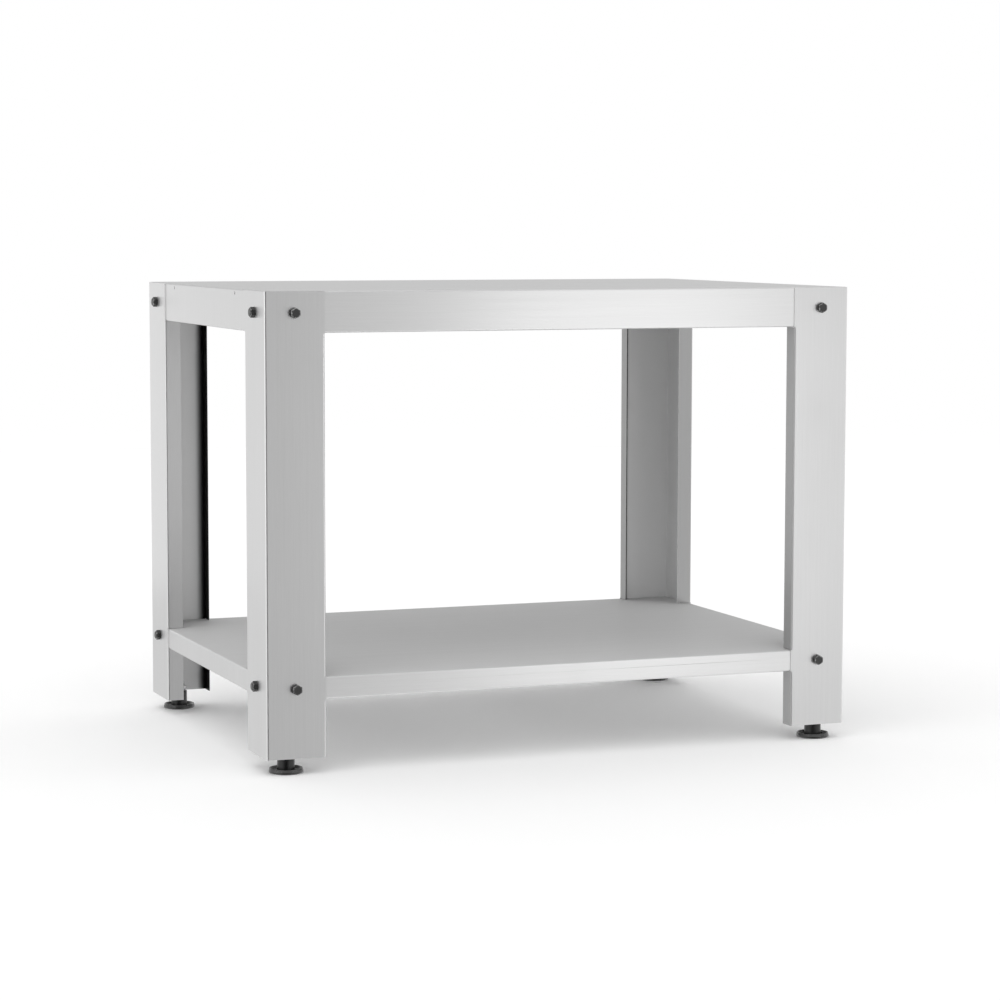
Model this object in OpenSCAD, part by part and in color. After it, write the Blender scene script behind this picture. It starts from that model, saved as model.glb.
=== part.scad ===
// Bolted stainless steel table for an outdoor pizza oven, in millimetres.
// X runs along the front from left to right, Y from front to back and Z up.
// The origin is on the floor, under the middle of the table.

/* [Table] */
// Width over the legs
table_w = 1155; // [900:5:1600]
// Depth over the legs
table_d = 830; // [600:5:1200]
// Height of the worktop above the floor
table_h = 870; // [700:5:1100]

/* [Legs] */
// Thickness of the leg sheet
leg_sheet = 2; // [1.5:0.5:3]
// Width of a leg's front or rear wall
leg_face_w = 112; // [100:1:160]
// Width of a leg's side wall
leg_side_w = 126; // [100:1:160]
// Depth of the lip that stiffens each free edge of a leg
leg_lip = 32; // [20:1:40]
// Inside radius of the folds in a leg
leg_fold_r = 1.5; // [0.5:0.5:3]
// Distance from the worktop down to the legs' top ends
leg_top_drop = 0.5; // [0:0.25:2]
// Gap between a lip's notch and the tray that passes through it
lip_notch_gap = 1; // [0.5:0.5:3]

/* [Top tray] */
// Thickness of the top sheet
top_sheet = 1.5; // [1:0.25:2]
// Height of the top tray's apron
top_apron = 75; // [60:1:120]
// Width of the return fold under the top tray's apron
top_return = 20; // [14:1:30]
// Diameter of the accessory holes in the side aprons
side_hole_d = 6; // [4:0.5:8]
// Distance between the two accessory holes of one side
side_hole_pitch = 435; // [200:5:500]
// Distance from the worktop down to the accessory holes
side_hole_drop = 8; // [8:1:20]

/* [Shelf tray] */
// Thickness of the shelf sheet
shelf_sheet = 1.5; // [1:0.25:2]
// Height of the shelf's upper face above the floor
shelf_z = 176; // [150:1:400]
// Height of the shelf tray's apron
shelf_apron = 40; // [34:1:60]
// Width of the return fold under the shelf tray's apron
shelf_return = 20; // [14:1:30]

/* [Tray folds] */
// Inside radius of the folds in both trays
tray_fold_r = 1.5; // [0.5:0.5:3]
// Extra radius of a tray's upright corners over the fold they sit in
tray_corner_ease = 0.5; // [0.5:0.5:2]

/* [Stiffening channels] */
// Thickness of the channel sheet
channel_sheet = 1.5; // [1:0.25:2]
// Width of a channel's crown
channel_crown_w = 50; // [30:1:80]
// Width of each welded flange of a channel
channel_flange_w = 20; // [12:1:30]
// Height of the channels under the top
top_channel_h = 28; // [15:1:40]
// Height of the channels under the shelf
shelf_channel_h = 20; // [12:1:25]
// Gap between a channel's end and the fold at the apron
channel_end_gap = 0.5; // [0.25:0.25:2]

/* [Bolts and flange nuts] */
// Diameter of the bolt shank
bolt_d = 10; // [8:1:12]
// Diameter of the bolt holes in the sheets
bolt_hole_d = 11; // [11:0.5:14]
// Length of the bolt under its head
bolt_len = 20; // [18:1:30]
// Width across the flats of a bolt head
bolt_hex_af = 17; // [15:0.5:20]
// Height of a bolt head
bolt_head_h = 10; // [6:0.5:11]
// Width across the flats of a nut
nut_hex_af = 16; // [14:0.5:17]
// Height of a nut with its flange
nut_h = 10; // [8:0.5:12]
// Diameter of the flange on a nut
flange_d = 21.5; // [19:0.5:24]
// Thickness of the flange at its rim
flange_rim_h = 1.5; // [1:0.25:2]
// Height of the flange where it meets the hexagon
flange_cone_h = 3; // [2:0.25:4]
// Distance from the worktop down to the upper bolts
top_bolt_drop = 39; // [25:1:50]
// Radial gap between a thread and what it screws into
thread_gap = 0.05; // [0.02:0.01:0.1]

/* [Levelling feet] */
// Distance of a foot's axis from the outer side face
foot_from_side = 46; // [38:1:60]
// Distance of a foot's axis from the outer front or rear face
foot_from_front = 36; // [34:1:60]
// Diameter of the foot disc
foot_disc_d = 63; // [50:1:66]
// Height of the disc's raised rim
foot_rim_h = 9; // [8:0.5:12]
// Radial width of the raised rim
foot_rim_w = 2.5; // [2:0.5:5]
// Height of the dish floor inside the rim
foot_dish_h = 4.5; // [3:0.5:6]
// Diameter of the foot's hub
foot_hub_d = 32; // [26:1:36]
// Height of the hub's top above the floor
foot_hub_h = 35; // [30:1:50]
// Height that the hub reaches up into the leg
foot_hub_in_leg = 5; // [2:1:10]
// Diameter of the foot's threaded stud
stud_d = 12; // [10:1:16]
// Lead of the stud's thread for each turn
stud_pitch = 1.75; // [1:0.25:2]
// Number of turns from fully in to fully out
stud_turns = 12; // [4:1:14]
// Height of the thin lock nut
lock_nut_h = 6; // [5:0.5:8]
// Height of the weld nut
weld_nut_h = 10; // [8:0.5:14]
// Width across the flats of the stud's nuts
stud_nut_af = 19; // [17:0.5:24]
// Thickness of the foot plate
foot_plate_h = 4; // [3:0.5:6]
// Distance from a foot's axis to the plate's free edges
foot_plate_reach = 13; // [12:0.5:16]
// Gap between the hub's top and the lock nut when the foot is fully in
foot_stop_gap = 0.2; // [0.1:0.05:0.3]

/* [Hidden] */
$fn = 48;

// Overrun of every cut past the surface that it opens
over = 1;
steel = [0.8, 0.8, 0.8];
inner_steel = [0.7, 0.7, 0.7];
black_steel = [0.15, 0.15, 0.15];
zinc = [0.6, 0.62, 0.65];
black_plastic = [0.08, 0.08, 0.08];

// Places that several pieces share
tray_w = table_w - 2 * leg_sheet;
tray_d = table_d - 2 * leg_sheet;
tray_corner_r = leg_fold_r + tray_corner_ease;
top_bottom_z = table_h - top_apron;
shelf_bottom_z = shelf_z - shelf_apron;
leg_bottom_z = foot_hub_h - foot_hub_in_leg;
leg_top_z = table_h - leg_top_drop;
top_bolt_z = table_h - top_bolt_drop;
shelf_bolt_z = shelf_z - shelf_apron / 2;
face_bolt_u = leg_face_w / 2;
side_bolt_v = leg_side_w / 2;
channel_place_share = 1 / 6;

// The foot's stack of pieces, from the hub upwards
lock_nut_z = foot_hub_h + foot_stop_gap;
foot_plate_z = lock_nut_z + lock_nut_h;
weld_nut_z = foot_plate_z + foot_plate_h;
foot_travel = stud_pitch * stud_turns;
stud_end_over = 1;
stud_top_z = weld_nut_z + weld_nut_h + foot_travel + stud_end_over;
foot_plate_corner_r = 6;

// The collar that holds the stud in the foot's hub
collar_d = 18;
collar_h = 3;
collar_gap = 0.3;
collar_z = 14;
stud_bore_gap = 0.05;
stud_chamfer = 1;
stud_key_af = 6;
stud_key_depth = 6;
disc_edge = 1;
disc_base_in = 2.5;
disc_base_h = 2;
hub_edge = 1;
hub_foot_r = 18;
hub_foot_h = 7;

// Cross sections

module rounded_rect(w, h, r) {
    square([w - 2 * r, h], center = true);
    square([w, h - 2 * r], center = true);
    for (x = [-1, 1], y = [-1, 1])
        translate([x * (w / 2 - r), y * (h / 2 - r)])
            circle(r);
}

// The lipped angle of a leg, with its outer corner at the origin
module leg_lipped_section() {
    outer_r = leg_fold_r + leg_sheet;
    middle = [leg_face_w / 2, leg_side_w / 2];
    intersection() {
        difference() {
            translate(middle)
                rounded_rect(leg_face_w, leg_side_w, outer_r);
            translate(middle)
                rounded_rect(leg_face_w - 2 * leg_sheet, leg_side_w - 2 * leg_sheet, leg_fold_r);
        }
        union() {
            square([leg_face_w, leg_lip]);
            square([leg_lip, leg_side_w]);
        }
    }
}

// The same angle where its lips are notched away for a tray
module leg_notched_section() {
    outer_r = leg_fold_r + leg_sheet;
    translate([outer_r, 0])
        square([leg_face_w - outer_r, leg_sheet]);
    translate([0, outer_r])
        square([leg_sheet, leg_side_w - outer_r]);
    intersection() {
        difference() {
            translate([outer_r, outer_r])
                circle(outer_r);
            translate([outer_r, outer_r])
                circle(leg_fold_r);
        }
        square([outer_r, outer_r]);
    }
}

// The hat shape of a stiffening channel, with its flanges at the top
module channel_section(h) {
    half = channel_crown_w / 2;
    reach = half + channel_flange_w;
    s = channel_sheet;
    polygon([
        [-reach, 0], [-reach, -s], [-half, -s], [-half, -h],
        [half, -h], [half, -s], [reach, -s], [reach, 0],
        [half - s, 0], [half - s, s - h], [s - half, s - h], [s - half, 0]
    ]);
}

// Sheet metal

// A block whose four long edges above and below are rounded as folds are
module folded_block(w, d, h, r) {
    intersection() {
        rotate([90, 0, 0])
            linear_extrude(height = d, center = true)
                rounded_rect(w, h, r);
        rotate([90, 0, 90])
            linear_extrude(height = w, center = true)
                rounded_rect(d, h, r);
    }
}

// A tray with its apron and return folds, its upper face at height z
module tray(z, sheet, apron, return_w) {
    translate([0, 0, z - apron / 2])
        difference() {
            intersection() {
                folded_block(tray_w, tray_d, apron, tray_fold_r + sheet);
                linear_extrude(height = apron, center = true)
                    rounded_rect(tray_w, tray_d, tray_corner_r);
            }
            folded_block(tray_w - 2 * sheet, tray_d - 2 * sheet, apron - 2 * sheet, tray_fold_r);
            translate([0, 0, -apron / 2])
                cube([tray_w - 2 * return_w, tray_d - 2 * return_w, 2 * (sheet + over)], center = true);
        }
}

module channel(side, z, sheet, h) {
    length = tray_d - 2 * (sheet + tray_fold_r + channel_end_gap);
    color(inner_steel)
        translate([side * table_w * channel_place_share, 0, z - sheet])
            rotate([90, 0, 0])
                linear_extrude(height = length, center = true)
                    channel_section(h);
}

// Puts its children in the corner of one leg: X runs inwards from the outer
// side face, and Y inwards from the outer front or rear face
module at_leg(side, end) {
    translate([side * table_w / 2, end * table_d / 2, 0])
        mirror([side > 0 ? 1 : 0, 0, 0])
            mirror([0, end > 0 ? 1 : 0, 0])
                children();
}

// Puts its children at the two bolts of one leg at height z, with Z pointing
// inwards and a corner of each hexagon upwards
module at_bolt_pair(z) {
    translate([face_bolt_u, 0, z])
        rotate([-90, 0, 0])
            rotate([0, 0, 30])
                children();
    translate([0, side_bolt_v, z])
        rotate([0, 90, 0])
            children();
}

// Puts its children at the four bolts of one leg
module at_leg_bolts() {
    for (z = [top_bolt_z, shelf_bolt_z])
        at_bolt_pair(z)
            children();
}

module all_bolt_holes() {
    for (side = [-1, 1], end = [-1, 1])
        at_leg(side, end)
            at_leg_bolts()
                translate([0, 0, -over])
                    cylinder(h = leg_sheet + max(top_sheet, shelf_sheet) + 2 * over, d = bolt_hole_d);
}

module top_panel() {
    color(steel)
        difference() {
            tray(table_h, top_sheet, top_apron, top_return);
            all_bolt_holes();
            for (side = [-1, 1], y = [-side_hole_pitch / 2, side_hole_pitch / 2])
                translate([side * (tray_w - top_sheet) / 2, y, table_h - side_hole_drop])
                    rotate([0, 90, 0])
                        cylinder(h = top_sheet + 2 * over, d = side_hole_d, center = true);
        }
}

module shelf_panel() {
    color(steel)
        difference() {
            tray(shelf_z, shelf_sheet, shelf_apron, shelf_return);
            all_bolt_holes();
        }
}

module leg_stretch(z0, z1) {
    translate([0, 0, z0])
        linear_extrude(height = z1 - z0)
            children();
}

module leg(side, end) {
    below_shelf = shelf_bottom_z - lip_notch_gap;
    above_shelf = shelf_z + lip_notch_gap;
    below_top = top_bottom_z - lip_notch_gap;
    color(steel)
        at_leg(side, end)
            difference() {
                union() {
                    leg_stretch(leg_bottom_z, below_shelf)
                        leg_lipped_section();
                    leg_stretch(below_shelf, above_shelf)
                        leg_notched_section();
                    leg_stretch(above_shelf, below_top)
                        leg_lipped_section();
                    leg_stretch(below_top, leg_top_z)
                        leg_notched_section();
                }
                at_leg_bolts()
                    translate([0, 0, -over])
                        cylinder(h = leg_sheet + 2 * over, d = bolt_hole_d);
            }
}

// Fasteners

// A hexagon prism on the XY plane whose outer end has its corners turned off
module hex_prism(af, h) {
    corner_r = af / 2 / cos(30);
    turned = corner_r - af / 2;
    intersection() {
        cylinder(h = h, r = corner_r, $fn = 6);
        union() {
            cylinder(h = h - turned, r = corner_r + over);
            translate([0, 0, h - turned])
                cylinder(h = turned, r1 = corner_r, r2 = corner_r - turned);
        }
    }
}

// A bolt, with the bearing face of its head at the origin and its shank along Z
module bolt() {
    mirror([0, 0, 1])
        hex_prism(bolt_hex_af, bolt_head_h);
    cylinder(h = bolt_len, d = bolt_d);
}

// A flange nut, with its bearing face at the origin and its bore along Z
module flange_nut() {
    difference() {
        union() {
            cylinder(h = flange_rim_h, d = flange_d);
            translate([0, 0, flange_rim_h])
                cylinder(h = flange_cone_h - flange_rim_h, d1 = flange_d, d2 = nut_hex_af);
            hex_prism(nut_hex_af, nut_h);
        }
        translate([0, 0, -over])
            cylinder(h = nut_h + 2 * over, d = bolt_d + 2 * thread_gap);
    }
}

module bolts(side, end) {
    color(black_steel)
        at_leg(side, end)
            at_leg_bolts()
                bolt();
}

module nuts_at(z, sheet) {
    at_bolt_pair(z)
        translate([0, 0, leg_sheet + sheet])
            flange_nut();
}

module nuts(side, end) {
    color(zinc)
        at_leg(side, end) {
            nuts_at(top_bolt_z, top_sheet);
            nuts_at(shelf_bolt_z, shelf_sheet);
        }
}

// Levelling feet

module at_foot(side, end, z) {
    at_leg(side, end)
        translate([foot_from_side, foot_from_front, z])
            children();
}

// The plate fits the leg's two walls, with a round corner clear of the fold
module foot_plate(side, end) {
    w = foot_from_side + foot_plate_reach - leg_sheet;
    d = foot_from_front + foot_plate_reach - leg_sheet;
    color(inner_steel)
        difference() {
            at_leg(side, end)
                translate([leg_sheet + w / 2, leg_sheet + d / 2, foot_plate_z])
                    linear_extrude(height = foot_plate_h)
                        rounded_rect(w, d, foot_plate_corner_r);
            at_foot(side, end, foot_plate_z - over)
                cylinder(h = foot_plate_h + 2 * over, d = stud_d + 2 * thread_gap);
        }
}

module stud_nut(side, end, z, h) {
    color(zinc)
        at_foot(side, end, z)
            difference() {
                hex_prism(stud_nut_af, h);
                translate([0, 0, -over])
                    cylinder(h = h + 2 * over, d = stud_d + 2 * thread_gap);
            }
}

module weld_nut(side, end) {
    stud_nut(side, end, weld_nut_z, weld_nut_h);
}

module lock_nut(side, end) {
    stud_nut(side, end, lock_nut_z, lock_nut_h);
}

module stud(side, end) {
    shank_h = stud_top_z - collar_z - stud_chamfer;
    color(zinc)
        at_foot(side, end, collar_z)
            difference() {
                union() {
                    cylinder(h = collar_h, d = collar_d);
                    cylinder(h = shank_h, d = stud_d);
                    translate([0, 0, shank_h])
                        cylinder(h = stud_chamfer, d1 = stud_d, d2 = stud_d - 2 * stud_chamfer);
                }
                translate([0, 0, shank_h + stud_chamfer - stud_key_depth])
                    cylinder(h = stud_key_depth + over, r = stud_key_af / 2 / cos(30), $fn = 6);
            }
}

// The foot is turned about its axis from a dish, a rim and a tall hub
module foot_pad(side, end) {
    disc_r = foot_disc_d / 2;
    hub_r = foot_hub_d / 2;
    rim_in_r = disc_r - foot_rim_w;
    color(black_plastic)
        at_foot(side, end, 0)
            difference() {
                rotate_extrude()
                    polygon([
                        [0, 0], [disc_r - disc_base_in, 0], [disc_r, disc_base_h],
                        [disc_r, foot_rim_h - disc_edge], [disc_r - disc_edge, foot_rim_h],
                        [rim_in_r, foot_rim_h], [rim_in_r - foot_rim_h + foot_dish_h, foot_dish_h],
                        [hub_foot_r, foot_dish_h], [hub_r, hub_foot_h],
                        [hub_r, foot_hub_h - hub_edge], [hub_r - hub_edge, foot_hub_h],
                        [0, foot_hub_h]
                    ]);
                translate([0, 0, collar_z - collar_gap])
                    cylinder(h = collar_h + 2 * collar_gap, d = collar_d + 2 * collar_gap);
                translate([0, 0, collar_z])
                    cylinder(h = foot_hub_h - collar_z + over, d = stud_d + 2 * stud_bore_gap);
            }
}

top_panel();
channel(-1, table_h, top_sheet, top_channel_h);  // top_channel_left
channel(1, table_h, top_sheet, top_channel_h);  // top_channel_right
shelf_panel();
channel(-1, shelf_z, shelf_sheet, shelf_channel_h);  // shelf_channel_left
channel(1, shelf_z, shelf_sheet, shelf_channel_h);  // shelf_channel_right
leg(-1, -1);  // leg_front_left
leg(1, -1);  // leg_front_right
leg(-1, 1);  // leg_rear_left
leg(1, 1);  // leg_rear_right
bolts(-1, -1);  // bolts_front_left
bolts(1, -1);  // bolts_front_right
bolts(-1, 1);  // bolts_rear_left
bolts(1, 1);  // bolts_rear_right
nuts(-1, -1);  // nuts_front_left
nuts(1, -1);  // nuts_front_right
nuts(-1, 1);  // nuts_rear_left
nuts(1, 1);  // nuts_rear_right
foot_plate(-1, -1);  // foot_plate_front_left
foot_plate(1, -1);  // foot_plate_front_right
foot_plate(-1, 1);  // foot_plate_rear_left
foot_plate(1, 1);  // foot_plate_rear_right
weld_nut(-1, -1);  // weld_nut_front_left
weld_nut(1, -1);  // weld_nut_front_right
weld_nut(-1, 1);  // weld_nut_rear_left
weld_nut(1, 1);  // weld_nut_rear_right
lock_nut(-1, -1);  // lock_nut_front_left
lock_nut(1, -1);  // lock_nut_front_right
lock_nut(-1, 1);  // lock_nut_rear_left
lock_nut(1, 1);  // lock_nut_rear_right
stud(-1, -1);  // stud_front_left
stud(1, -1);  // stud_front_right
stud(-1, 1);  // stud_rear_left
stud(1, 1);  // stud_rear_right
foot_pad(-1, -1);  // foot_pad_front_left
foot_pad(1, -1);  // foot_pad_front_right
foot_pad(-1, 1);  // foot_pad_rear_left
foot_pad(1, 1);  // foot_pad_rear_right
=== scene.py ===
"""Looks, camera and studio for a bolted stainless steel table that carries an outdoor pizza oven."""

import math

import bpy
from mathutils import Matrix, Vector


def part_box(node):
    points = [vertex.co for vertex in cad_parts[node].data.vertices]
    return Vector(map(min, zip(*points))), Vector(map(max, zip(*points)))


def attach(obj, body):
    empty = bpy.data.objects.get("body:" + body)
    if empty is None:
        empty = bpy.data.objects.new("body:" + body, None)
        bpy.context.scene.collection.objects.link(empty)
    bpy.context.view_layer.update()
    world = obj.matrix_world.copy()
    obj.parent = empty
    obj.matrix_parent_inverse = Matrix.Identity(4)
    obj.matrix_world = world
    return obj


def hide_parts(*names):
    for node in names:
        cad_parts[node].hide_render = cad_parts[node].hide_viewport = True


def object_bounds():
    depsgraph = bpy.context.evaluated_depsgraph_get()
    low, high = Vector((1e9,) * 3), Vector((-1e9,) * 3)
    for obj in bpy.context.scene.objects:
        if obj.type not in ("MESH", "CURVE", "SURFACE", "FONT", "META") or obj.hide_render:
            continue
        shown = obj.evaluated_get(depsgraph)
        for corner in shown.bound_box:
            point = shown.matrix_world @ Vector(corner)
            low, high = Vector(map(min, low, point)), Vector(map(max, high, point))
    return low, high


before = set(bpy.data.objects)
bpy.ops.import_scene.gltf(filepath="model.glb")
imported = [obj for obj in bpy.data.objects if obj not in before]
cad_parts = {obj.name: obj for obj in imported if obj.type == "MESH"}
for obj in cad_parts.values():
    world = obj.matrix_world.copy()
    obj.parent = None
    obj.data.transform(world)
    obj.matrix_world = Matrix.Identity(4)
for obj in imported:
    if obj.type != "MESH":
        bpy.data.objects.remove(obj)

bl_info = {
    "name": "Pizza oven table",
    "version": (1, 0, 0),
    "blender": (4, 5, 0),
    "location": "View3D > Sidebar > Oven table",
    "description": "Finishes, fasteners, feet, welds and studio for the stainless steel oven table",
    "category": "Object",
}

CAD_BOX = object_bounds()
TABLE_LOW, TABLE_HIGH = Vector(CAD_BOX[0]), Vector(CAD_BOX[1])
CORNERS = {
    "front_left": (-1, -1),
    "front_right": (1, -1),
    "rear_left": (-1, 1),
    "rear_right": (1, 1),
}
LENGTH, WHOLE, FACTOR = "NodeSocketFloat", "NodeSocketInt", "NodeSocketFloat"
VECTOR, GEOMETRY, FINISH = "NodeSocketVector", "NodeSocketGeometry", "NodeSocketMaterial"

BLACK, WHITE, DUST = (0.0, 0.0, 0.0, 1.0), (1.0, 1.0, 1.0, 1.0), (0.12, 0.115, 0.11, 1.0)
NO_TURN = (0.0, 0.0, 0.0)

# Points nearer than this are one point, and edges sharper than this stay sharp
MERGE_DISTANCE = 0.000002
SHARP_ANGLE = math.radians(35)

# A metric thread: the wave at the end of its crest and along its flank, and its depth over its pitch
CREST_END, FLANK_RUN, THREAD_DEPTH = 0.875, 0.625, 0.613

# How far a lip reaches from the leg's edge, and where the painted shade in its hollow starts and ends
LIP_REACH = 0.0045
HOLLOW_SHADE_START, HOLLOW_SHADE_END = 0.02, 0.003

# Spot welds: in from a flange's edge, down from its upper face, and short of the channel's ends
FLANGE_INSET, FLANGE_SHEET, WELD_MARGIN = 0.01, 0.0015, 0.04

# Weld beads: into the wall, up from the plate, and short of the plate's corners
BEAD_SINK, BEAD_LIFT, BEAD_MARGIN = 0.0003, 0.0002, 0.008

# The floor's edges, over the distance at which it starts to fade
FADE_END, FLOOR_END = 2.5, 2.6

# Soft borders of the room that metal shows: of its dark end, in radians, and of its ceiling
DARK_BORDER, CEILING_BORDER = 0.1, 0.2
FILM_WIDTH = 36.0


# Node trees


class Field:
    """One output of a node, whose sums and products are further Math nodes."""

    def __init__(self, nodes, socket):
        self.nodes = nodes
        self.socket = socket

    def math(self, operation, *others):
        made = self.nodes.add("ShaderNodeMath", operation=operation)
        for socket, value in zip(made.inputs, (self,) + others):
            self.nodes.join(value, socket)
        return Field(self.nodes, made.outputs[0])

    def __add__(self, other):
        return self.math("ADD", other)

    def __sub__(self, other):
        return self.math("SUBTRACT", other)

    def __mul__(self, other):
        return self.math("MULTIPLY", other)

    def __truediv__(self, other):
        return self.math("DIVIDE", other)

    def __neg__(self):
        return self * -1.0

    def __rsub__(self, other):
        return -self + other

    def __rtruediv__(self, other):
        return self.nodes.make("ShaderNodeMath", {0: other, 1: self}, operation="DIVIDE")

    __radd__ = __add__
    __rmul__ = __mul__

    def part(self, axis):
        made = self.nodes.add("ShaderNodeSeparateXYZ")
        self.nodes.join(self, made.inputs[0])
        return Field(self.nodes, made.outputs[axis])

    def ramp(self, start, end):
        """Rises smoothly from 0 to 1 while the value goes from the start to the end."""
        given = {"Value": self, "From Min": start, "From Max": end}
        return self.nodes.make("ShaderNodeMapRange", given, interpolation_type="SMOOTHSTEP")


class Nodes:
    """Adds nodes to one tree and joins them."""

    def __init__(self, tree):
        self.tree = tree

    def add(self, kind, **settings):
        made = self.tree.nodes.new(kind)
        for name, value in settings.items():
            setattr(made, name, value)
        return made

    def join(self, value, socket):
        if isinstance(value, Field):
            self.tree.links.new(value.socket, socket)
        else:
            socket.default_value = value

    def make(self, kind, inputs, out=0, **settings):
        """Adds a node, fills its inputs and gives one of its outputs."""
        made = self.add(kind, **settings)
        for name, value in inputs.items():
            self.join(value, made.inputs[name])
        return Field(self, made.outputs[out])

    def vector(self, x, y, z):
        return self.make("ShaderNodeCombineXYZ", {0: x, 1: y, 2: z})

    def mix(self, factor, first, second):
        """Blends two colours by a mask."""
        return self.make("ShaderNodeMix", {0: factor, 6: first, 7: second}, out=2, data_type="RGBA")

    def arrange(self):
        """Sets the nodes out in columns, each to the left of what it feeds."""
        column = {node.name: 0 for node in self.tree.nodes}
        moved = True
        while moved:
            moved = False
            for link in self.tree.links:
                wanted = column[link.to_node.name] + 1
                if column[link.from_node.name] < wanted:
                    column[link.from_node.name] = wanted
                    moved = True
        filled = {}
        for node in self.tree.nodes:
            row = filled.get(column[node.name], 0)
            node.location = (-240 * column[node.name], -190 * row)
            filled[column[node.name]] = row + 1


class Group(Nodes):
    """A node group with named inputs and outputs."""

    def __init__(self, name, kind, inputs, outputs):
        super().__init__(bpy.data.node_groups.new(name, kind))
        for label, socket, default in inputs:
            made = self.tree.interface.new_socket(label, in_out="INPUT", socket_type=socket)
            if default is not None:
                made.default_value = default
        for label, socket in outputs:
            self.tree.interface.new_socket(label, in_out="OUTPUT", socket_type=socket)
        self.given = self.add("NodeGroupInput")

    def __getitem__(self, label):
        return Field(self, self.given.outputs[label])

    def finish(self, **results):
        """Joins the results to the group's outputs, whose names have spaces for underscores."""
        end = self.add("NodeGroupOutput")
        for label, value in results.items():
            self.join(value, end.inputs[label.replace("_", " ")])
        self.arrange()
        return self.tree


def use_group(nodes, tree, inputs, out=0):
    """Places a group in a tree with its own values and gives one of its outputs."""
    kind = "GeometryNodeGroup" if tree.bl_idname == "GeometryNodeTree" else "ShaderNodeGroup"
    made = nodes.add(kind, node_tree=tree)
    for name, value in inputs.items():
        nodes.join(value, made.inputs[name])
    return Field(nodes, made.outputs[out])


# Turned and threaded shapes in Geometry Nodes


def pick(nodes, number, values, kind="FLOAT"):
    """Gives the value whose place in the list is the number."""
    made = nodes.add("GeometryNodeIndexSwitch", data_type=kind)
    for _ in range(len(values) - 2):
        made.index_switch_items.new()
    nodes.join(number, made.inputs[0])
    for place, value in enumerate(values):
        nodes.join(value, made.inputs[place + 1])
    return Field(nodes, made.outputs[0])


def rolled_grid(t, rows, segments):
    """A grid to be rolled up about Z, with its turn from 0 to 1 and its row number."""
    grid = t.make("GeometryNodeMeshGrid", {"Vertices X": segments + 1, "Vertices Y": rows})
    place = t.make("GeometryNodeInputPosition", {})
    turn = place.part(0) + 0.5
    row = ((place.part(1) + 0.5) * (rows - 1)).math("ROUND")
    return grid, turn, row


def roll_up(t, grid, turn, radius, height):
    """Moves the grid's points about the Z axis and closes its seam and poles."""
    angle = turn * math.tau
    place = t.vector(radius * angle.math("COSINE"), radius * angle.math("SINE"), height)
    moved = t.make("GeometryNodeSetPosition", {"Geometry": grid, "Position": place})
    merged = t.make("GeometryNodeMergeByDistance", {"Geometry": moved, "Distance": MERGE_DISTANCE})
    faces = t.make("GeometryNodeInputMeshEdgeNeighbors", {})
    loose = t.make("FunctionNodeCompare", {0: faces, 1: 0.5}, operation="LESS_THAN")
    kept = {"Geometry": merged, "Selection": loose}
    return t.make("GeometryNodeDeleteGeometry", kept, domain="EDGE")


def outline(t, corners):
    """The outline of a turned piece, as (radius, height, rounding) for each corner."""
    number = t.make("GeometryNodeInputIndex", {})
    line = t.make("GeometryNodeMeshLine", {"Count": len(corners)})
    places = [t.vector(radius, 0.0, height) for radius, height, _ in corners]
    place = pick(t, number, places, "VECTOR")
    line = t.make("GeometryNodeSetPosition", {"Geometry": line, "Position": place})
    curve = t.make("GeometryNodeMeshToCurve", {"Mesh": line})
    rounding = pick(t, number, [corner[2] for corner in corners])
    given = {"Curve": curve, "Count": 5, "Radius": rounding, "Limit Radius": True}
    curve = t.make("GeometryNodeFilletCurve", given, mode="POLY")
    return t.make("GeometryNodeCurveToMesh", {"Curve": curve})


def turned_tree():
    """Turns an outline in the XZ plane about the Z axis."""
    inputs = [("Outline", GEOMETRY, None), ("Segments", WHOLE, 64)]
    t = Group("Turned piece", "GeometryNodeTree", inputs, [("Mesh", GEOMETRY)])
    rows = t.make("GeometryNodeAttributeDomainSize", {"Geometry": t["Outline"]})
    grid, turn, row = rolled_grid(t, rows, t["Segments"])
    place = t.make("GeometryNodeInputPosition", {})
    given = {"Geometry": t["Outline"], "Value": place, "Index": row}
    point = t.make("GeometryNodeSampleIndex", given, data_type="FLOAT_VECTOR")
    return t.finish(Mesh=roll_up(t, grid, turn, point.part(0), point.part(2)))


def hexagon_radius(turn, across):
    """The distance from the axis to a hexagon's side, and its nearness to a corner, from 0 to 1.

    One corner is on the X axis.
    """
    away = (turn * 6.0).math("FRACT") * (math.pi / 3) - math.pi / 6
    return across * 0.5 / away.math("COSINE"), away.math("ABSOLUTE") / (math.pi / 6)


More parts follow.
